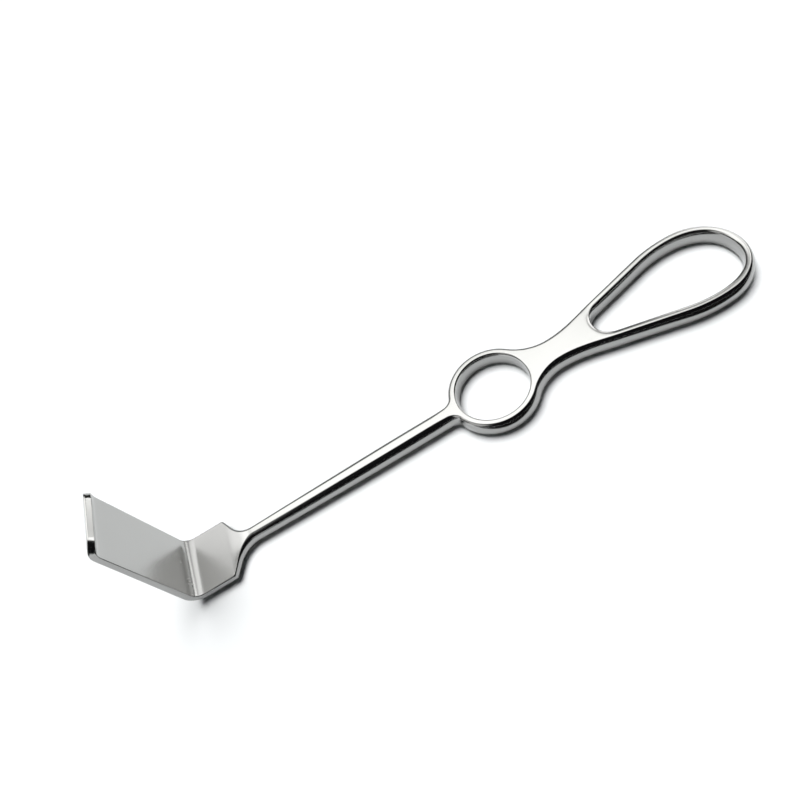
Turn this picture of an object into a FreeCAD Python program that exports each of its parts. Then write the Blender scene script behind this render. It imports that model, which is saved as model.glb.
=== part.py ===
import FreeCAD, Part
import math
import os

# Handheld surgical retractor, forged and polished in one piece.
# Millimetres. +X runs along the handle to the grip loop, +Z is up and the blade stands up
# at the -X end. The origin is the centre of the finger ring, halfway through the handle.

Vector = FreeCAD.Vector
UP = Vector(0, 0, 1)
ACROSS = Vector(0, 1, 0)
ALONG = Vector(1, 0, 0)

# Handle stock
handle_thickness = 6.5
outer_edge_radius = 2.0
opening_edge_chamfer = 0.7

# Finger ring
bore_radius = 12.0
ring_wall = 3.35

# Neck between the ring and the grip loop
waist_half_width = 5.45
waist_blend_radius = 15.5
waist_handle = 6.5
flank_handle = 7.0

# Grip loop: a pear-shaped opening, with the arm width given at its flank and at its far end
opening_start = 37.6
opening_tip_radius = 6.0
opening_half_angle = 15.4
opening_flank_length = 20.7
opening_end = 87.5
flank_wall = 3.6
end_wall = 3.1
opening_side_fullness = 14.0
opening_end_fullness = 11.5
loop_end_radius = 16.1

# Shank, from the ring to the flare, a little fuller halfway along
root_half_width = 3.1
root_blend_radius = 3.2
root_length = 6.0
middle_x = -48.0
middle_half_width = 3.25
neck_half_width = 2.4
neck_thickness = 5.5
neck_edge_radius = 1.9

# Flare and root plate
shoulder_x = -102.5
flare_radius = 9.5
flare_angle = 58.0
plate_half_width = 11.0
plate_thickness = 2.4
plate_edge_radius = 0.7
plate_length = 11.4

# Bend and blade
bend_radius = 3.4
bend_angle = 90.0
blade_length = 38.6
tip_half_width = 10.65
tip_thickness = 2.1
tip_edge_radius = 0.55
lip_radius = 5.0
lip_angle = 56.0
lip_corner_radius = 4.0

flare_stations = 6

ring_radius = bore_radius + ring_wall
loop_end = opening_end + end_wall


def line(start, end):
    return Part.LineSegment(start, end).toShape()


def arc(centre, radius, start_deg, end_deg):
    """Arc in the XY plane from one angle to the other, given in degrees."""

    def at(deg):
        turn = math.radians(deg)
        return centre + Vector(radius * math.cos(turn), radius * math.sin(turn), 0)

    return Part.Arc(at(start_deg), at((start_deg + end_deg) / 2), at(end_deg)).toShape()


def bezier(start, start_pull, end_pull, end):
    """Cubic curve that leaves start towards start_pull and reaches end from end_pull."""
    curve = Part.BezierCurve()
    curve.setPoles([start, start_pull, end_pull, end])
    return curve.toShape()


def mirrored_wire(half_edges, closing_edges=()):
    """Closed wire of the given +Y edges, their mirror image in the XZ plane and any closing edge."""
    edges = list(half_edges) + list(closing_edges)
    edges += [edge.mirror(Vector(0, 0, 0), ACROSS) for edge in half_edges]
    return Part.Wire(Part.sortEdges(edges)[0])


def flank_frame():
    """Direction along the loop's straight flank, its outward normal and the flank's two ends."""
    slope = math.radians(opening_half_angle)
    along = Vector(math.cos(slope), math.sin(slope), 0)
    outward = Vector(-math.sin(slope), math.cos(slope), 0)
    tip_centre = Vector(opening_start + opening_tip_radius, 0, 0)
    flank_start = tip_centre + outward * opening_tip_radius
    flank_end = flank_start + along * opening_flank_length
    return along, outward, tip_centre, flank_start, flank_end


def loop_opening_wire():
    """Pear-shaped opening: a round tip, straight flanks and a full round end."""
    along, _, tip_centre, flank_start, flank_end = flank_frame()
    far = Vector(opening_end, 0, 0)
    edges = [
        arc(tip_centre, opening_tip_radius, 180, 90 + opening_half_angle),
        line(flank_start, flank_end),
        bezier(flank_end, flank_end + along * opening_side_fullness,
               far + ACROSS * opening_end_fullness, far),
    ]
    return mirrored_wire(edges)


def loop_end_edges(start, outward):
    """Two arcs round the loop: one off its straight flank, then one about the far end's centre."""
    end_centre = Vector(loop_end - loop_end_radius, 0, 0)
    gap = start - end_centre
    side_radius = (gap.dot(gap) - loop_end_radius ** 2) / (2 * (outward.dot(gap) - loop_end_radius))
    side_centre = start - outward * side_radius
    meeting = (end_centre - side_centre) * (1 / (side_radius - loop_end_radius))
    turn = math.degrees(math.atan2(meeting.y, meeting.x))
    return [
        arc(side_centre, side_radius, 90 + opening_half_angle, turn),
        arc(end_centre, loop_end_radius, turn, 0),
    ]


def root_x():
    """Where the shank's straight side meets the blend into the ring."""
    reach = ring_radius + root_blend_radius
    rise = root_half_width + root_blend_radius
    return -math.sqrt(reach ** 2 - rise ** 2)


def handle_outline_wire():
    """Outline of ring, neck and loop, with a short stub of the shank."""
    root_centre = Vector(root_x(), root_half_width + root_blend_radius, 0)
    root_turn = math.degrees(math.atan2(root_centre.y, root_centre.x))
    waist_reach = ring_radius + waist_blend_radius
    waist_rise = waist_half_width + waist_blend_radius
    waist_centre = Vector(math.sqrt(waist_reach ** 2 - waist_rise ** 2), waist_rise, 0)
    waist_turn = math.degrees(math.atan2(waist_centre.y, waist_centre.x))
    waist = waist_centre - ACROSS * waist_blend_radius

    along, outward, _, flank_start, flank_end = flank_frame()
    outer_start = flank_start + outward * flank_wall
    outer_end = flank_end + outward * flank_wall

    stub_end = Vector(root_x() - root_length, root_half_width, 0)
    edges = [
        line(stub_end, Vector(root_x(), root_half_width, 0)),
        arc(root_centre, root_blend_radius, 270, 180 + root_turn),
        arc(Vector(0, 0, 0), ring_radius, root_turn, waist_turn),
        arc(waist_centre, waist_blend_radius, 180 + waist_turn, 270),
        bezier(waist, waist + ALONG * waist_handle, outer_start - along * flank_handle, outer_start),
        line(outer_start, outer_end),
    ]
    edges += loop_end_edges(outer_end, outward)
    stub_face = line(stub_end, Vector(stub_end.x, -stub_end.y, 0))
    return mirrored_wire(edges, [stub_face])


def through_thickness(wire):
    """Solid inside the wire, as thick as the handle and centred on the XY plane."""
    face = Part.Face(wire)
    face.translate(UP * (-handle_thickness / 2))
    return face.extrude(UP * handle_thickness)


def flat_edges(shape, outer):
    """Edges of the top and bottom faces: the outer outline, or else the openings."""
    found = []
    for face in shape.Faces:
        if face.BoundBox.ZLength > 1e-6:
            continue
        outline = face.OuterWire
        for wire in face.Wires:
            if wire.isSame(outline) == outer:
                found += [edge for edge in wire.Edges if not is_stub_edge(edge)]
    return found


def is_stub_edge(edge):
    box = edge.BoundBox
    return box.XLength < 1e-6 and abs(box.XMin - (root_x() - root_length)) < 1e-6


def handle():
    """Ring, neck and loop cut from one plate, with a full outer edge and crisp openings."""
    plate = through_thickness(handle_outline_wire())
    plate = plate.makeFillet(outer_edge_radius, flat_edges(plate, True))
    bore = Part.Wire(Part.makeCircle(bore_radius))
    plate = plate.cut(through_thickness(bore)).cut(through_thickness(loop_opening_wire()))
    return plate.makeChamfer(opening_edge_chamfer, flat_edges(plate, False))


def section(centre, thick_way, half_width, thickness, corner):
    """Rounded rectangle across the stock, square to ACROSS x thick_way."""
    half = thickness / 2

    def at(y, t):
        return centre + ACROSS * y + thick_way * t

    corners = []
    for side, level in ((1, 1), (-1, 1), (-1, -1), (1, -1)):
        inner = (side * (half_width - corner), level * (half - corner))
        on_side = at(side * half_width, inner[1])
        on_face = at(inner[0], level * half)
        diagonal = corner * math.sqrt(0.5)
        middle = at(inner[0] + side * diagonal, inner[1] + level * diagonal)
        first, last = (on_side, on_face) if side * level > 0 else (on_face, on_side)
        corners.append((first, middle, last))
    edges = []
    for index, (first, middle, last) in enumerate(corners):
        edges.append(Part.Arc(first, middle, last).toShape())
        edges.append(line(last, corners[(index + 1) % 4][0]))
    return Part.Wire(edges)


def shank_section(x, half_width, thickness, corner):
    return section(Vector(x, 0, 0), UP, half_width, thickness, corner)


def flare_start():
    """Where the shank's side leaves for the flare, worked back from the shoulder."""
    turn = math.radians(flare_angle)
    rise = plate_half_width - neck_half_width
    return shoulder_x + rise / math.tan(turn) + flare_radius * math.tan(turn / 2)


def flare_half_width(x):
    """Half width of the flare: an arc off the shank's side, then a straight run to the shoulder."""
    turn = math.radians(flare_angle)
    arc_x = flare_start() - flare_radius * math.sin(turn)
    if x > arc_x:
        drop = math.sqrt(flare_radius ** 2 - (flare_start() - x) ** 2)
        return neck_half_width + flare_radius - drop
    return plate_half_width - (x - shoulder_x) * math.tan(turn)


def shank():
    """Bar from the ring to the start of the flare, which tapers past its middle."""
    start_x = root_x() - root_length
    share = (middle_x - start_x) / (flare_start() - start_x)
    middle_thickness = handle_thickness + (neck_thickness - handle_thickness) * share
    middle_radius = outer_edge_radius + (neck_edge_radius - outer_edge_radius) * share
    start = shank_section(start_x, root_half_width, handle_thickness, outer_edge_radius)
    middle = shank_section(middle_x, middle_half_width, middle_thickness, middle_radius)
    end = shank_section(flare_start(), neck_half_width, neck_thickness, neck_edge_radius)
    return Part.makeLoft([start, middle, end], True, True)


def flare():
    """The bar spreads and thins into the root plate."""
    length = flare_start() - shoulder_x
    sections = []
    for index in range(flare_stations):
        share = index / (flare_stations - 1)
        blend = (1 - math.cos(math.pi * share)) / 2
        thickness = neck_thickness + (plate_thickness - neck_thickness) * blend
        corner = neck_edge_radius + (plate_edge_radius - neck_edge_radius) * blend
        x = flare_start() - share * length
        sections.append(shank_section(x, flare_half_width(x), thickness, corner))
    return Part.makeLoft(sections, True, False)


def root_plate():
    start = shank_section(shoulder_x, plate_half_width, plate_thickness, plate_edge_radius)
    return Part.Face(start).extrude(ALONG * -plate_length)


def bend():
    """Quarter turn from the plate up into the blade, about an axis above the plate."""
    x = shoulder_x - plate_length
    start = shank_section(x, plate_half_width, plate_thickness, plate_edge_radius)
    axis = Vector(x, 0, plate_thickness / 2 + bend_radius)
    return Part.Face(start).revolve(axis, ACROSS, bend_angle)


def blade():
    """Blade that thins and narrows to the lip, then curls in towards the handle."""
    turn = math.radians(bend_angle)
    pivot = Vector(shoulder_x - plate_length, 0, plate_thickness / 2 + bend_radius)
    rise = Vector(-math.cos(turn), 0, math.sin(turn))
    outward = Vector(-math.sin(turn), 0, -math.cos(turn))
    root = pivot + outward * bend_radius
    lip_root = root + rise * blade_length
    start = section(root + outward * (plate_thickness / 2), outward,
                    plate_half_width, plate_thickness, plate_edge_radius)
    end = section(lip_root + outward * (tip_thickness / 2), outward,
                  tip_half_width, tip_thickness, tip_edge_radius)
    flat = Part.makeLoft([start, end], True, True)
    lip_axis = lip_root - outward * lip_radius
    lip = Part.Face(end).revolve(lip_axis, ACROSS, lip_angle)

    curl = math.radians(lip_angle)
    radial = outward * math.cos(curl) + rise * math.sin(curl)
    tangent = rise * math.cos(curl) - outward * math.sin(curl)
    tip = lip_axis + radial * (lip_radius - tip_thickness)
    for side in (1, -1):
        lip = lip.cut(corner_cutter(tip, tangent, radial, side))
    return flat.fuse(lip)


def corner_cutter(tip, tangent, radial, side):
    """What a rounded corner leaves off one end of the lip, as a prism through its thickness."""
    radius = lip_corner_radius
    margin = 0.5
    depth = tip_thickness * 3

    def at(y, t):
        return tip + ACROSS * (side * y) + tangent * t

    centre_y = tip_half_width - radius
    diagonal = radius * math.sqrt(0.5)
    first = at(tip_half_width, -radius)
    last = at(centre_y, 0)
    middle = at(centre_y + diagonal, -radius + diagonal)
    edges = [
        Part.Arc(first, middle, last).toShape(),
        line(last, at(centre_y, margin)),
        line(at(centre_y, margin), at(tip_half_width + margin, margin)),
        line(at(tip_half_width + margin, margin), at(tip_half_width + margin, -radius)),
        line(at(tip_half_width + margin, -radius), first),
    ]
    return Part.Face(Part.Wire(edges)).extrude(radial * depth)


def retractor():
    body = handle()
    for piece in (shank(), flare(), root_plate(), bend(), blade()):
        body = body.fuse(piece)
    return body.removeSplitter()


def main():
    os.makedirs("parts", exist_ok=True)
    shape = retractor()
    solids = shape.Solids
    if len(solids) != 1:
        raise ValueError("the retractor must be one solid, not %d" % len(solids))
    solids[0].exportStep("parts/retractor.step")


main()
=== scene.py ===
import math

import bmesh
import bpy
import numpy as np
from mathutils import Matrix, Vector


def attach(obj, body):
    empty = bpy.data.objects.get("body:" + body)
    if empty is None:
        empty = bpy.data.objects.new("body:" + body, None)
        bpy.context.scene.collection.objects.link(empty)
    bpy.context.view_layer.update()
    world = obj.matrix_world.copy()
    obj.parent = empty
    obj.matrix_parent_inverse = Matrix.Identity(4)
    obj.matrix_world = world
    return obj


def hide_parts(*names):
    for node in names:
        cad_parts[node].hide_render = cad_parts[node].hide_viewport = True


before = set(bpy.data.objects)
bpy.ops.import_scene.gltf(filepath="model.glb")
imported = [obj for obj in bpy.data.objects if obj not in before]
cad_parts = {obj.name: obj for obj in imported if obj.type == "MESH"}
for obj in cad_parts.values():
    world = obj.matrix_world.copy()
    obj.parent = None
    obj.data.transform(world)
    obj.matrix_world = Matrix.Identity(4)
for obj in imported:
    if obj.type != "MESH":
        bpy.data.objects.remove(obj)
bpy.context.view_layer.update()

# Handheld surgical retractor, forged and polished in one piece.
# The shape is worked out in millimetres as if the blade and its lip were unrolled flat:
# s runs along the handle and on along the unrolled blade, y across and t through the thickness.

MM = 0.001

# Handle
bore_radius = 12.0
ring_radius = 15.35
waist_half_width = 5.45
waist_blend_radius = 15.5
waist_handle = 6.5
flank_handle = 7.0
opening_start = 37.6
opening_tip_radius = 6.0
opening_half_angle = math.radians(15.4)
opening_flank_length = 20.7
opening_end = 87.5
flank_wall = 3.6
opening_side_fullness = 14.0
opening_end_fullness = 11.5
loop_end = 90.6
loop_end_radius = 16.1

# Shank
root_half_width = 3.1
root_blend_radius = 3.2
root_length = 6.0
neck_half_width = 2.4
shank_handle = 20.0
shank_low_half_width = 2.84
shank_high_half_width = 3.38
shank_high_s = -45.0

# Flare, plate, bend, blade and lip
shoulder_s = -102.5
shoulder_radius = 0.9
flare_radius = 9.5
flare_angle = math.radians(58.0)
plate_half_width = 11.0
bend_s = -113.9
bend_radius = 3.4
blade_length = 38.6
tip_half_width = 10.65
lip_radius = 5.0
lip_angle = math.radians(56.0)
lip_corner_radius = 4.0

# Half thickness at the places where it changes
handle_half = 3.25
neck_half = 2.75
plate_half = 1.2
tip_half = 1.05

# How wide the edges of both openings are rolled, and how far down at the bore and in the loop
opening_roll = 0.8
bore_fall = 2.95
opening_fall = 2.2

# The soft slope of the loop's top towards its opening
crown_reach = 2.0
crown_fall = 0.5

# Points across each kind of strip
ROLL = 13
FLAT = 5
ACROSS = 12
INNER = 12

bend_middle = bend_radius + plate_half
lip_middle = lip_radius + tip_half
bend_end_s = bend_s - bend_middle * math.pi / 2
lip_s = bend_end_s - blade_length
tip_s = lip_s - lip_middle * lip_angle


def point(s, y):
    return np.array([s, y], dtype=float)


def straight(start, end, count):
    share = np.linspace(0, 1, count)[:, None]
    return start + (end - start) * share


def arc(centre, radius, from_angle, to_angle, count):
    turn = np.linspace(from_angle, to_angle, count)
    return centre + radius * np.stack([np.cos(turn), np.sin(turn)], axis=1)


def bezier(a, b, c, d, count, first=0.0, last=1.0):
    """Cubic curve: each point is weighted by the four products of its share and what is left."""
    u = np.linspace(first, last, count)[:, None]
    v = 1 - u
    return a * v ** 3 + 3 * b * u * v ** 2 + 3 * c * u ** 2 * v + d * u ** 3


def shares(run):
    """How far along the run each of its points is, from 0 to 1."""
    length = np.concatenate([[0], np.cumsum(np.linalg.norm(np.diff(run, axis=0), axis=1))])
    return length / length[-1]


def resampled(run, places):
    """Points of the run at the given shares of its length."""
    return np.stack([np.interp(places, shares(run), run[:, axis]) for axis in (0, 1)], axis=1)


def trace(*runs):
    """Runs of points end to end, with each shared end kept once."""
    return np.vstack([run if index == 0 else run[1:] for index, run in enumerate(runs)])


def eased(s, places, values):
    """Goes from value to value along s, and each step is half a cosine wave."""
    places = np.asarray(places, dtype=float)
    values = np.asarray(values, dtype=float)
    whole = np.interp(s, places, np.arange(len(places)))
    low = np.minimum(whole.astype(int), len(places) - 2)
    step = (1 - np.cos(np.pi * (whole - low))) / 2
    return values[low] + (values[low + 1] - values[low]) * step


# The outline's corners and centres, for the half with y above zero
flare_rise = plate_half_width - neck_half_width
flare_s = shoulder_s + flare_rise / math.tan(flare_angle) + flare_radius * math.tan(flare_angle / 2)
root_reach = ring_radius + root_blend_radius
root_centre = point(-math.sqrt(root_reach ** 2 - (root_half_width + root_blend_radius) ** 2),
                    root_half_width + root_blend_radius)
root_turn = math.atan2(root_centre[1], root_centre[0])
root_middle = (1.5 * math.pi + math.pi + root_turn) / 2
waist_reach = ring_radius + waist_blend_radius
waist_centre = point(math.sqrt(waist_reach ** 2 - (waist_half_width + waist_blend_radius) ** 2),
                     waist_half_width + waist_blend_radius)
waist_turn = math.atan2(waist_centre[1], waist_centre[0])
waist_middle = (math.pi + waist_turn + 1.5 * math.pi) / 2
waist = waist_centre - point(0, waist_blend_radius)

along = point(math.cos(opening_half_angle), math.sin(opening_half_angle))
outward = point(-math.sin(opening_half_angle), math.cos(opening_half_angle))
opening_tip = point(opening_start + opening_tip_radius, 0)
flank_start = opening_tip + outward * opening_tip_radius
flank_end = flank_start + along * opening_flank_length
outer_start = flank_start + outward * flank_wall
outer_end = flank_end + outward * flank_wall

# The share of the neck's curve at which the lines across the neck give way to those round the loop
split = 0.68


def tip_edge(count):
    return straight(point(tip_s, 0), point(tip_s, tip_half_width - lip_corner_radius), count)


def tip_corner(count, first=1.0, last=0.5):
    centre = point(tip_s + lip_corner_radius, tip_half_width - lip_corner_radius)
    return arc(centre, lip_corner_radius, math.pi * first, math.pi * last, count)


def lip_side(count):
    return straight(point(tip_s + lip_corner_radius, tip_half_width), point(lip_s, tip_half_width), count)


def blade_side(count):
    return straight(point(lip_s, tip_half_width), point(bend_end_s, plate_half_width), count)


def bend_side(count):
    return straight(point(bend_end_s, plate_half_width), point(bend_s, plate_half_width), count)


shoulder_cut = shoulder_radius * math.tan(flare_angle / 2)


def plate_side(count):
    return straight(point(bend_s, plate_half_width),
                    point(shoulder_s - shoulder_cut, plate_half_width), count)


def shoulder(count):
    centre = point(shoulder_s - shoulder_cut, plate_half_width - shoulder_radius)
    return arc(centre, shoulder_radius, math.pi / 2, math.pi / 2 - flare_angle, count)


def flare_run(count):
    down = point(math.cos(flare_angle), -math.sin(flare_angle))
    centre = point(flare_s, neck_half_width + flare_radius)
    end = centre - flare_radius * point(math.sin(flare_angle), math.cos(flare_angle))
    return straight(point(shoulder_s, plate_half_width) + down * shoulder_cut, end, count)


def flare_arc(count):
    centre = point(flare_s, neck_half_width + flare_radius)
    return arc(centre, flare_radius, 1.5 * math.pi - flare_angle, 1.5 * math.pi, count)


def shank_side(count):
    return bezier(point(flare_s, neck_half_width), point(flare_s + shank_handle, shank_low_half_width),
                  point(shank_high_s, shank_high_half_width), point(root_centre[0], root_half_width),
                  count)


def root_low(count):
    return arc(root_centre, root_blend_radius, 1.5 * math.pi, root_middle, count)


def root_high(count):
    return arc(root_centre, root_blend_radius, root_middle, math.pi + root_turn, count)


def ring_side(count):
    return arc(point(0, 0), ring_radius, root_turn, waist_turn, count)


def waist_high(count):
    return arc(waist_centre, waist_blend_radius, math.pi + waist_turn, waist_middle, count)


def waist_low(count):
    return arc(waist_centre, waist_blend_radius, waist_middle, 1.5 * math.pi, count)


def neck_side(count, first, last):
    return bezier(waist, waist + point(waist_handle, 0), outer_start - along * flank_handle,
                  outer_start, count, first, last)


def flank_side(count):
    return straight(outer_start, outer_end, count)


def loop_side(count):
    """Two arcs round the loop: one off its straight flank, then one about the far end's centre."""
    end_centre = point(loop_end - loop_end_radius, 0)
    gap = outer_end - end_centre
    side_radius = (gap @ gap - loop_end_radius ** 2) / (2 * (outward @ gap - loop_end_radius))
    side_centre = outer_end - outward * side_radius
    meeting = (end_centre - side_centre) / (side_radius - loop_end_radius)
    turn = math.atan2(meeting[1], meeting[0])
    run = trace(arc(side_centre, side_radius, math.pi / 2 + opening_half_angle, turn, 900),
                arc(end_centre, loop_end_radius, turn, 0, 1500))
    return resampled(run, np.linspace(0, 1, count))


def opening_arc(count, first, last):
    return arc(opening_tip, opening_tip_radius, first, last, count)


def opening_side(count):
    far = point(opening_end, 0)
    run = bezier(flank_end, flank_end + along * opening_side_fullness,
                 far + point(0, opening_end_fullness), far, 2500)
    return resampled(run, np.linspace(0, 1, count))


# Each run's number is how many points it has
outline = trace(
    tip_edge(60), tip_corner(80), lip_side(40), blade_side(120), bend_side(40), plate_side(60),
    shoulder(60), flare_run(60), flare_arc(400), shank_side(900), root_low(100), root_high(100),
    ring_side(1200), waist_high(300), waist_low(300), neck_side(500, 0, 1), flank_side(80),
    loop_side(1800),
)
loop_opening = trace(opening_arc(400, math.pi, math.pi / 2 + opening_half_angle),
                     straight(flank_start, flank_end, 60), opening_side(1500))


def distance_to(points, path):
    """Shortest distance from each point to a run of straight pieces."""
    start = path[:-1]
    step = path[1:] - start
    square = (step ** 2).sum(axis=1)
    nearest = np.empty(len(points))
    block = 400
    for first in range(0, len(points), block):
        gap = points[first:first + block, None, :] - start[None, :, :]
        share = np.clip((gap * step).sum(axis=2) / square, 0, 1)
        miss = gap - share[:, :, None] * step
        nearest[first:first + block] = np.sqrt((miss ** 2).sum(axis=2).min(axis=1))
    return nearest


PLACES = [tip_s, lip_s, bend_end_s, shoulder_s, flare_s, root_centre[0] - root_length]


def half_thickness(s):
    return eased(s, PLACES, [tip_half, tip_half, plate_half, plate_half, neck_half, handle_half])


def roll_reach(s):
    """How wide the outer edge is rolled at s: narrow on the blade, widest on the shank."""
    shank_middle, ring_start, ring_stop, neck_middle, loop_start = -50, -12, 10, 24, 42
    places = PLACES[:5] + [shank_middle, PLACES[5], ring_start, ring_stop, neck_middle, loop_start]
    return eased(s, places, [0.25, 0.25, 0.3, 0.5, 1.75, 2.2, 2.2, 1.5, 1.5, 1.9, 1.5])


def roll_fall(s):
    """How far down the outer edge is rolled at s."""
    return eased(s, PLACES, [0.4, 0.4, 0.45, 0.7, 2.6, 3.1])


def edge_drop(distance, reach, fall):
    """A quarter of an ellipse, reach wide and fall high: none at its inner end, all of it at the edge."""
    share = np.clip(1 - distance / reach, 0, 1)
    return fall * (1 - np.sqrt(1 - share ** 2))


def top(points):
    """Height of the upper surface: half the thickness less the roll at the outline and at the openings.

    The loop's top also slopes softly down to its opening, by the square of the nearness to it.
    """
    s = points[:, 0]
    height = half_thickness(s)
    height = height - edge_drop(distance_to(points, outline), roll_reach(s), roll_fall(s))
    bore_gap = np.abs(np.hypot(points[:, 0], points[:, 1]) - bore_radius)
    height = height - edge_drop(bore_gap, opening_roll, bore_fall)
    near = s > opening_start - crown_reach
    loop_gap = np.full(len(points), crown_reach)
    loop_gap[near] = distance_to(points[near], loop_opening)
    height = height - crown_fall * np.clip(1 - loop_gap / crown_reach, 0, 1) ** 2
    return height - edge_drop(loop_gap, opening_roll, opening_fall)


def roll_steps(count):
    """Shares of a roll's reach, even in the angle that the surface turns."""
    turn = np.linspace(0, math.pi / 2, count)
    return 1 - np.cos(turn)


def across(starts, ends, lean=1.0):
    """Lines from the axis to the outline: even steps, then the closer steps of the roll."""
    length = np.linalg.norm(ends - starts, axis=1)
    reach = roll_reach(ends[:, 0]) / lean
    flat = (length - reach)[:, None] * np.linspace(0, 1, ACROSS)[None, :]
    roll = length[:, None] - reach[:, None] * roll_steps(ROLL)[::-1][None, :]
    share = np.hstack([flat, roll[:, 1:]]) / length[:, None]
    return starts[:, None, :] + (ends - starts)[:, None, :] * share[:, :, None]


def rays(starts, ends, lean=1.0):
    """Lines from an opening to the outline: the roll at the opening, even steps, the outer roll."""
    length = np.linalg.norm(ends - starts, axis=1)
    reach = roll_reach(ends[:, 0]) / lean
    inner = opening_roll * roll_steps(INNER)[None, :] + 0 * length[:, None]
    flat = opening_roll + (length - reach - opening_roll)[:, None] * np.linspace(0, 1, FLAT)[None, :]
    outer = length[:, None] - reach[:, None] * roll_steps(ROLL)[::-1][None, :]
    share = np.hstack([inner, flat[:, 1:], outer[:, 1:]]) / length[:, None]
    return starts[:, None, :] + (ends - starts)[:, None, :] * share[:, :, None]


def four_sided(low, high, left, right):
    """Patch between four curves: low and high run along rows, left and right along columns.

    Each point is the blend of low and high at its column, plus the blend of left and right at its
    row, less the blend of the four corners.
    """
    u = ((shares(low) + shares(high)) / 2)[:, None, None]
    v = ((shares(left) + shares(right)) / 2)[None, :, None]
    sides = low[:, None] * (1 - v) + high[:, None] * v + left[None] * (1 - u) + right[None] * u
    corners = (low[0] * (1 - u) * (1 - v) + low[-1] * u * (1 - v)
               + high[0] * (1 - u) * v + high[-1] * u * v)
    return sides - corners


def graded(start, end, first_steps, count):
    """Axis points from an opening outwards: the roll's steps, then even ones."""
    length = np.linalg.norm(end - start)
    rest = np.linspace(first_steps[-1], length, count - len(first_steps) + 1)[1:]
    share = np.concatenate([first_steps, rest]) / length
    return start + (end - start) * share[:, None]


# The half plan is cut into patches that share their sides. A lean is the cosine of the angle
# between a line across the edge and the square way across it: a slanted line has a longer roll.
# Near the ring the feet of the lines across move along the axis, towards the root's own foot.
root_foot_shift = 0.4
root_lean_run = 8.0
root_lean = 0.87
waist_ray_lean = 0.72
waist_lean = 0.84
neck_end_lean = 0.8
loop_start_lean = 0.86
least_lean = 0.5
root_point = root_low(2)[-1]
waist_point = waist_high(2)[-1]
neck_point = neck_side(2, 0, split)[-1]
root_axis = point(root_centre[0] + root_foot_shift, 0)
waist_axis = point(17.6, 0)
neck_axis = point(32.6, 0)
opening_turn = math.radians(135)
inner_steps = opening_roll * roll_steps(INNER)
ray_count = INNER + FLAT + ROLL - 2
across_count = ACROSS + ROLL - 1
on_axis = point(1, 0)

# Blade, plate, flare and shank: lines across, from the axis to the side
side = trace(lip_side(14), blade_side(60), bend_side(26), plate_side(22), shoulder(12),
             flare_run(12), flare_arc(46), shank_side(110), root_low(12))
feet = side * on_axis
lean_start = root_centre[0] - root_lean_run
lean_to_root = np.clip((side[:, 0] - lean_start) / (root_point[0] - lean_start), 0, 1)
feet[:, 0] += (root_axis[0] - root_point[0]) * lean_to_root ** 2
slope = np.gradient(side, axis=0)
lean = np.abs(slope[:, 0]) / np.linalg.norm(slope, axis=1)
blank = across(feet, side, np.maximum(lean, least_lean))

# Lip end
end_steps = roll_reach(tip_s) * roll_steps(ROLL)
end_count = 22
axis_run = graded(point(tip_s, 0), blank[0, 0], end_steps, end_count)
corner_run = resampled(tip_corner(60, 0.75, 0.5), shares(axis_run))
tip_path = trace(tip_edge(60), tip_corner(60, 1.0, 0.75))
tip_run = resampled(tip_path, np.linspace(0, 1, across_count))
lip_patch = four_sided(axis_run, corner_run, tip_run, blank[0])

# From the shank into the ring
bore_root = bore_radius * root_point / np.linalg.norm(root_point)
bore_waist = bore_radius * waist_point / np.linalg.norm(waist_point)
root_ray = rays(bore_root[None], root_point[None], root_lean)[0]
waist_ray = rays(bore_waist[None], waist_point[None], waist_ray_lean)[0]
root_bore = arc(point(0, 0), bore_radius, math.pi, math.atan2(bore_root[1], bore_root[0]), across_count)
root_line = blank[-1]
root_patch = four_sided(root_bore, root_line,
                        graded(point(-bore_radius, 0), root_axis, inner_steps, ray_count), root_ray)

# Ring
ring = trace(root_high(12), ring_side(90), waist_high(22))
ring_bore = bore_radius * ring / np.linalg.norm(ring, axis=1)[:, None]
ring_lean = np.interp(np.arange(len(ring)), [0, 16, len(ring) - 26, len(ring) - 1],
                      [root_lean, 1, 1, waist_ray_lean])
ring_patch = rays(ring_bore, ring, ring_lean)

# Ring into the neck
waist_line = across(waist_axis[None], waist_point[None], waist_lean)[0]
waist_bore = arc(point(0, 0), bore_radius, 0, math.atan2(bore_waist[1], bore_waist[0]), across_count)
waist_patch = four_sided(waist_bore, waist_line,
                         graded(point(bore_radius, 0), waist_axis, inner_steps, ray_count), waist_ray)

# Neck
neck = trace(waist_low(20), neck_side(30, 0, split))
neck_feet = np.stack([np.interp(shares(neck), [0, 1], [waist_axis[0], neck_axis[0]]),
                      np.zeros(len(neck))], axis=1)
neck_lean = np.interp(np.arange(len(neck)), [0, 10, len(neck) - 10, len(neck) - 1],
                      [waist_lean, 1, 1, neck_end_lean])
neck_patch = across(neck_feet, neck, neck_lean)

# Neck into the loop
neck_line = neck_patch[-1]
opening_point = opening_arc(2, opening_turn, opening_turn)[0]
neck_ray = rays(opening_point[None], neck_point[None], loop_start_lean)[0]
tip_bore = opening_arc(across_count, math.pi, opening_turn)
tip_patch = four_sided(tip_bore, neck_line,
                       graded(point(opening_start, 0), neck_axis, inner_steps, ray_count), neck_ray)

# Loop
loop = trace(neck_side(14, split, 1), flank_side(44), loop_side(120))
loop_inner = trace(opening_arc(14, opening_turn, math.pi / 2 + opening_half_angle),
                   straight(flank_start, flank_end, 44), opening_side(120))
loop_lean = np.interp(np.arange(len(loop)), [0, 8, len(loop)], [loop_start_lean, 1, 1])
loop_patch = rays(loop_inner, loop, loop_lean)

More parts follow.
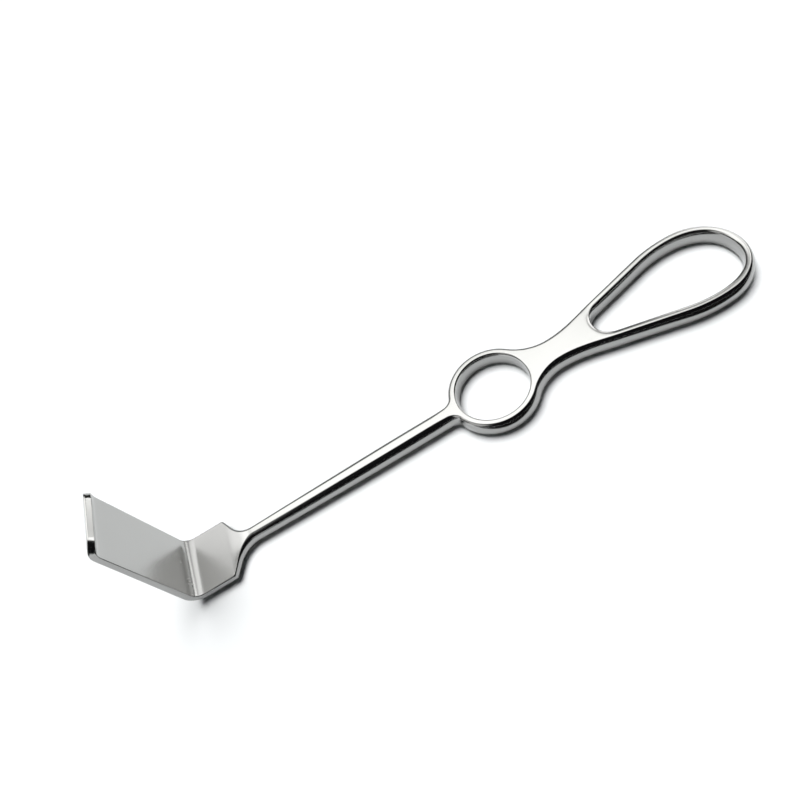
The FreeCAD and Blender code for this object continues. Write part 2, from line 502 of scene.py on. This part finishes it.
patches = [lip_patch, blank, root_patch, ring_patch, waist_patch, neck_patch, tip_patch, loop_patch]
edges = [tip_run, corner_run, blank[:, -1], ring_patch[:, -1], neck_patch[:, -1], loop_patch[:, -1],
         root_patch[:, 0], ring_patch[:, 0], waist_patch[:, 0], tip_patch[:, 0], loop_patch[:, 0]]


def placed(plan, t):
    """Rolls the flat plan up into the real shape, in metres.

    The handle keeps s as x and t as z. Round the bend the middle of the thickness follows a circle,
    the blade goes straight up with its inner face upright, and the lip follows a second circle
    towards the handle. t is measured along the normal, towards the inner side of the bend.
    """
    s = plan[..., 0]
    bend_turn = np.clip((bend_s - s) / bend_middle, 0, math.pi / 2)
    rise = np.clip(bend_end_s - s, 0, blade_length)
    curl = np.clip((lip_s - s) / lip_middle, 0, None)
    thinning = plate_half - half_thickness(np.minimum(s, bend_end_s))
    x = np.maximum(s, bend_s) - bend_middle * np.sin(bend_turn) + thinning * np.sin(bend_turn)
    z = bend_middle * (1 - np.cos(bend_turn)) + rise
    x = x + lip_middle * (1 - np.cos(curl))
    z = z + lip_middle * np.sin(curl)
    turn = bend_turn + curl
    x = x + t * np.sin(turn)
    z = z + t * np.cos(turn)
    return np.stack([x, plan[..., 1], z], axis=-1) * MM


def forging_grids():
    """Grids of points for a quarter of the piece: its upper surface and half of its side walls."""
    wall_points = 4
    for patch in patches:
        rows, columns = patch.shape[:2]
        yield patch, top(patch.reshape(-1, 2)).reshape(rows, columns)
    for edge in edges:
        drop = np.linspace(1, 0, wall_points)
        plan = np.repeat(edge[:, None], wall_points, axis=1)
        yield plan, top(edge)[:, None] * drop[None, :]


def forging_mesh():
    """The quarter with its mirror images in t and y, joined along what they share."""
    weld = 0.002 * MM
    points = []
    faces = []
    count = 0
    for plan, t in forging_grids():
        rows, columns = t.shape
        corner = np.arange(rows * columns).reshape(rows, columns)[:-1, :-1].ravel()
        quad = np.stack([corner, corner + 1, corner + columns + 1, corner + columns], axis=1)
        for level in (1, -1):
            for side_sign in (1, -1):
                flipped = plan * np.array([1, side_sign])
                points.append(placed(flipped, t * level).reshape(-1, 3))
                faces.append((quad if level * side_sign > 0 else quad[:, ::-1]) + count)
                count += rows * columns
    mesh = bpy.data.meshes.new("forging")
    mesh.from_pydata(np.vstack(points).tolist(), [], np.vstack(faces).tolist())
    work = bmesh.new()
    work.from_mesh(mesh)
    bmesh.ops.remove_doubles(work, verts=work.verts, dist=weld)
    bmesh.ops.recalc_face_normals(work, faces=work.faces)
    work.to_mesh(mesh)
    open_edges = sum(1 for edge in work.edges if not edge.is_manifold)
    work.free()
    print("forging: %d faces, %d open edges" % (len(mesh.polygons), open_edges))
    mesh.polygons.foreach_set("use_smooth", np.ones(len(mesh.polygons), dtype=bool))
    return mesh


class Signal:
    """A node's output that can be used in sums: each operator adds its Math node."""

    def __init__(self, shader, socket):
        self.shader = shader
        self.socket = socket

    def combine(self, operation, first, second):
        return self.shader.add("ShaderNodeMath", {"operation": operation}, {0: first, 1: second})

    def __add__(self, other):
        return self.combine("ADD", self, other)

    def __radd__(self, other):
        return self.combine("ADD", other, self)

    def __sub__(self, other):
        return self.combine("SUBTRACT", self, other)

    def __rsub__(self, other):
        return self.combine("SUBTRACT", other, self)

    def __mul__(self, other):
        return self.combine("MULTIPLY", self, other)

    def __rmul__(self, other):
        return self.combine("MULTIPLY", other, self)


class Shader:
    """The node tree of a material or of the world, built from nothing."""

    def __init__(self, owner):
        owner.use_nodes = True
        self.tree = owner.node_tree
        self.tree.nodes.clear()

    def add(self, kind, settings=None, inputs=None, output=0):
        """A node of that kind: its settings are set first, then its sockets get values or links."""
        node = self.tree.nodes.new(kind)
        for name, value in (settings or {}).items():
            setattr(node, name, value)
        for name, value in (inputs or {}).items():
            if isinstance(value, Signal):
                self.tree.links.new(value.socket, node.inputs[name])
            else:
                node.inputs[name].default_value = value
        return Signal(self, node.outputs[output]) if len(node.outputs) else None

    def mix(self, share, first, second):
        return self.add("ShaderNodeMix", {"data_type": "RGBA"},
                        {0: share, 6: first, 7: second}, 2)

    def axis(self, vector, index):
        return self.add("ShaderNodeSeparateXYZ", None, {0: vector}, index)

    def step(self, value, low, high):
        """Smooth rise from 0 at low to 1 at high."""
        return self.add("ShaderNodeMapRange", {"interpolation_type": "SMOOTHSTEP"},
                        {"Value": value, "From Min": low, "From Max": high})

    def seen(self):
        """1 for what is seen straight, in a reflection or through something, and 0 otherwise."""
        straight_on = self.add("ShaderNodeLightPath", output="Is Camera Ray")
        glossy = self.add("ShaderNodeLightPath", output="Is Glossy Ray")
        through = self.add("ShaderNodeLightPath", output="Is Transmission Ray")
        return straight_on + glossy + through

    def noise(self, place, scale, detail=2.0, roughness=0.5):
        return self.add("ShaderNodeTexNoise", {"noise_dimensions": "3D"},
                        {"Vector": place, "Scale": scale, "Detail": detail, "Roughness": roughness},
                        0)


def polished_steel():
    """Polished stainless steel: soft waves left by hand polishing and fine satin lines on a warm grey.

    The side walls and the long edges of the blade get a darker base colour than the faces: painted
    shade, standing in for the darker reflections they show. The blade and its plate have a little more
    satin than the handle, but not the lip.
    """
    blade_begins = (-94 * MM, -104 * MM)
    lip_begins = (41 * MM, 43.5 * MM)
    # Painted shade on the blade's long edges begins at these distances out, and on the side walls it ends
    # at these heights
    edge_shade_begins = (10.2 * MM, 10.7 * MM)
    wall_shade_ends = (1.8 * MM, 2.6 * MM)
    wave_height = 0.045 * MM
    line_height = 0.0016 * MM
    cross_height = 0.0009 * MM

    material = bpy.data.materials.new("polished_steel")
    shader = Shader(material)
    place = shader.add("ShaderNodeTexCoord", output="Object")
    lengthwise = shader.add("ShaderNodeMapping", {"vector_type": "POINT"},
                            {"Vector": place, "Scale": (60.0, 1500.0, 1500.0)})
    crosswise = shader.add("ShaderNodeMapping", {"vector_type": "POINT"},
                           {"Vector": place, "Scale": (900.0, 45.0, 900.0)})
    waves = shader.noise(place, 95.0, 1.0, 0.4)
    broad = shader.noise(place, 38.0, 2.0, 0.5)
    lines = shader.noise(lengthwise, 1.0, 3.0, 0.6)
    cross = shader.noise(crosswise, 1.0, 3.0, 0.6)
    height = waves * wave_height + lines * line_height + cross * cross_height
    bump = shader.add("ShaderNodeBump", None, {"Strength": 1.0, "Distance": 1.0, "Height": height})

    sideways = shader.axis(place, 1)
    level = shader.axis(place, 2)
    blade = 1 - shader.step(shader.axis(place, 0), blade_begins[1], blade_begins[0])
    # Painted shade: the side walls and the long edges of the blade take a darker base colour than the
    # faces
    face = shader.step(level * level, wall_shade_ends[0] ** 2, wall_shade_ends[1] ** 2)
    edge_shade = blade * shader.step(sideways * sideways, edge_shade_begins[0] ** 2, edge_shade_begins[1] ** 2)
    face_colour = shader.mix(broad, (0.435, 0.435, 0.427, 1), (0.465, 0.465, 0.455, 1))
    painted_shade_colour = shader.mix(broad, (0.325, 0.325, 0.321, 1), (0.355, 0.355, 0.35, 1))
    satin = blade * (1 - shader.step(level, lip_begins[0], lip_begins[1]))
    surface = shader.add("ShaderNodeBsdfPrincipled", None, {
        "Base Color": shader.mix(face * (1 - edge_shade), painted_shade_colour, face_colour),
        "Metallic": 1.0,
        "Roughness": 0.13 + satin * 0.09 + broad * 0.05 + lines * 0.04,
        "Normal": bump,
    })
    shader.add("ShaderNodeOutputMaterial", None, {"Surface": surface})
    return material


retractor = bpy.data.objects.new("polished_forging", forging_mesh())
bpy.context.scene.collection.objects.link(retractor)
retractor.data.materials.append(polished_steel())
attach(retractor, "root")
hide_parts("retractor")


# Floor, light and camera
floor_z = -handle_half * MM


def matt_card(name, colour):
    material = bpy.data.materials.new(name)
    shader = Shader(material)
    matt = shader.add("ShaderNodeBsdfDiffuse", None, {"Color": colour})
    shader.add("ShaderNodeOutputMaterial", None, {"Surface": matt})
    return material


def add_floor():
    """White card far larger than the view: it takes the shadow."""
    reach = 6.0
    grid = np.array([[-1, -1, 0], [1, -1, 0], [1, 1, 0], [-1, 1, 0]]) * reach
    grid[:, 2] = floor_z
    mesh = bpy.data.meshes.new("floor")
    mesh.from_pydata(grid.tolist(), [], [(0, 1, 2, 3)])
    mesh.materials.append(matt_card("white_card", (0.88, 0.895, 0.9, 1)))
    floor = bpy.data.objects.new("floor", mesh)
    bpy.context.scene.collection.objects.link(floor)


def add_dark_card():
    """Black cards laid flat in front of the handle and inside its openings.

    Only the polished sides see them, as the dark line along their upper half. The card in front is
    a rectangle; the other two are ellipses, each given by its middle and its two half widths.
    """
    left, right, near, far = -0.105, 0.3, -0.4, -0.021
    lift = 0.1 * MM
    level = floor_z + lift
    corners = 48
    turns = np.linspace(0, 2 * math.pi, corners, endpoint=False)
    ellipses = [(0.0, -0.004, 0.009, 0.007), (0.066, -0.004, 0.018, 0.0065)]
    points = [(left, near, level), (right, near, level), (right, far, level), (left, far, level)]
    faces = [(0, 1, 2, 3)]
    for x, y, half_x, half_y in ellipses:
        faces.append(tuple(range(len(points), len(points) + corners)))
        points += [(x + half_x * math.cos(turn), y + half_y * math.sin(turn), level) for turn in turns]
    mesh = bpy.data.meshes.new("dark_card")
    mesh.from_pydata(points, [], faces)
    mesh.materials.append(matt_card("black_card", (0.01, 0.01, 0.01, 1)))
    card = bpy.data.objects.new("dark_card", mesh)
    bpy.context.scene.collection.objects.link(card)
    card.visible_camera = False
    card.visible_diffuse = False
    card.visible_shadow = False


def add_light_tent():
    """Half sphere round the table that only polished surfaces see, lit by its own glow.

    Its points are the radius times the direction of each bearing and height.
    """
    radius = 0.5
    bearings = 64
    heights = 20
    bearing, height = np.meshgrid(np.linspace(0, 2 * math.pi, bearings, endpoint=False),
                                  np.linspace(0, math.pi / 2, heights)[:-1], indexing="ij")
    grid = np.stack([np.cos(height) * np.cos(bearing), np.cos(height) * np.sin(bearing),
                     np.sin(height)], axis=-1)
    points = np.vstack([grid.reshape(-1, 3), [[0, 0, 1]]]) * radius
    index = np.arange(bearings * (heights - 1)).reshape(bearings, heights - 1)
    after = np.roll(index, -1, axis=0)
    quads = np.stack([index[:, :-1], index[:, 1:], after[:, 1:], after[:, :-1]], axis=-1).reshape(-1, 4)
    cap = np.stack([index[:, -1], np.full(bearings, len(points) - 1), after[:, -1]], axis=-1)
    mesh = bpy.data.meshes.new("light_tent")
    mesh.from_pydata(points.tolist(), [], quads.tolist() + cap.tolist())
    mesh.polygons.foreach_set("use_smooth", np.ones(len(mesh.polygons), dtype=bool))
    tent = bpy.data.objects.new("light_tent", mesh)
    bpy.context.scene.collection.objects.link(tent)
    mesh.materials.append(tent_cloth(radius))
    tent.visible_camera = False
    tent.visible_diffuse = False
    tent.visible_shadow = False


def tent_cloth(radius):
    """The tent's glow: a broad window behind and above the piece, and four lamps lower down.

    The window fades out to the sides, low down and on the near side, and it slants: further back
    it lies further to the left. Each lamp is a round patch that rises from nothing to full glow
    between two nearnesses to its direction. The lip's and the loop's are cut off along an edge.
    """
    window_slant = 0.8
    window_shift = 0.04
    slant_from = 0.45
    lip_direction = (0.65, 0.68, 0.35)
    lip_edge = (0.67, 0.68)
    loop_direction = (0.762, 0.447, 0.467)
    loop_edge = (0.6, 0.66)
    plate_direction = (-0.77, 0.455, 0.44)
    end_direction = (-0.86, -0.12, 0.5)
    end_share = 0.32

    material = bpy.data.materials.new("tent_cloth")
    shader = Shader(material)
    place = shader.add("ShaderNodeTexCoord", output="Object")
    sideways = shader.axis(place, 0) * (1 / radius)
    back = shader.axis(place, 1) * (1 / radius)
    up = shader.axis(place, 2) * (1 / radius)

    def lamp(direction, low, high):
        nearness = sideways * direction[0] + back * direction[1] + up * direction[2]
        return shader.step(nearness, low, high)

    off_centre = sideways + (back - slant_from) * window_slant + window_shift
    wide = 1 - shader.step(off_centre * off_centre, 0.14, 0.42) * 0.75
    deep = shader.step(back, 0.04, 0.31) * (1 - shader.step(back, 0.59, 0.72) * 0.72)
    high = shader.step(up, 0.35, 0.6)
    lip_lamp = lamp(lip_direction, 0.98, 0.99) * shader.step(back, *lip_edge)
    loop_lamp = lamp(loop_direction, 0.955, 0.975) * (1 - shader.step(back, *loop_edge))
    plate_lamp = lamp(plate_direction, 0.96, 0.98)
    end_lamp = lamp(end_direction, 0.84, 0.95) * end_share
    share = wide * deep * high + lip_lamp + loop_lamp + plate_lamp + end_lamp
    colour = shader.mix(share, (0.008, 0.008, 0.009, 1), (2.35, 2.35, 2.33, 1))
    glow = shader.add("ShaderNodeEmission", None, {"Color": colour, "Strength": 1.0})
    shader.add("ShaderNodeOutputMaterial", None, {"Surface": glow})
    return material


def add_key_light():
    """Broad even light from above and behind: it gives the floor its level and its soft shadow."""
    light = bpy.data.lights.new("key_light", "SUN")
    light.energy = 3.82
    light.angle = math.radians(38)
    direction = Vector((0.03, -0.25, -0.97))
    lamp = bpy.data.objects.new("key_light", light)
    lamp.rotation_euler = direction.to_track_quat("-Z", "Y").to_euler()
    lamp.visible_camera = False
    lamp.visible_glossy = False
    bpy.context.scene.collection.objects.link(lamp)


def add_world():
    """White where it is seen, straight or in a reflection, and a faint fill light otherwise."""
    world = bpy.data.worlds.new("studio")
    bpy.context.scene.world = world
    shader = Shader(world)
    colour = shader.mix(shader.seen(), (0.014, 0.017, 0.019, 1), (1, 1, 1, 1))
    light = shader.add("ShaderNodeBackground", None, {"Color": colour, "Strength": 1.0})
    shader.add("ShaderNodeOutputWorld", None, {"Surface": light})


def add_camera():
    """Looks down at the piece from the near side, rolled so that the handle runs up to the right."""
    azimuth = math.radians(5.971)
    elevation = math.radians(51.613)
    roll = math.radians(35.872)
    distance = 0.21992
    focal_length = 28.21
    aim = Vector((-0.028703, 0.01939, floor_z))
    back = Vector((math.cos(elevation) * math.sin(azimuth),
                   -math.cos(elevation) * math.cos(azimuth), math.sin(elevation)))
    level = (-back).cross(Vector((0, 0, 1))).normalized()
    down = (-back).cross(level)
    right = math.cos(roll) * level + math.sin(roll) * down
    lower = -math.sin(roll) * level + math.cos(roll) * down
    place = aim + back * distance
    turn = Matrix((right, -lower, back)).transposed()
    lens = bpy.data.cameras.new("camera")
    lens.sensor_width = 36.0
    lens.lens = focal_length
    lens.clip_start = 0.01
    lens.clip_end = 30
    camera = bpy.data.objects.new("camera", lens)
    camera.matrix_world = Matrix.Translation(place) @ turn.to_4x4()
    bpy.context.scene.collection.objects.link(camera)
    bpy.context.scene.camera = camera


add_floor()
add_dark_card()
add_light_tent()
add_key_light()
add_world()
add_camera()
bpy.context.scene.view_settings.view_transform = "Standard"
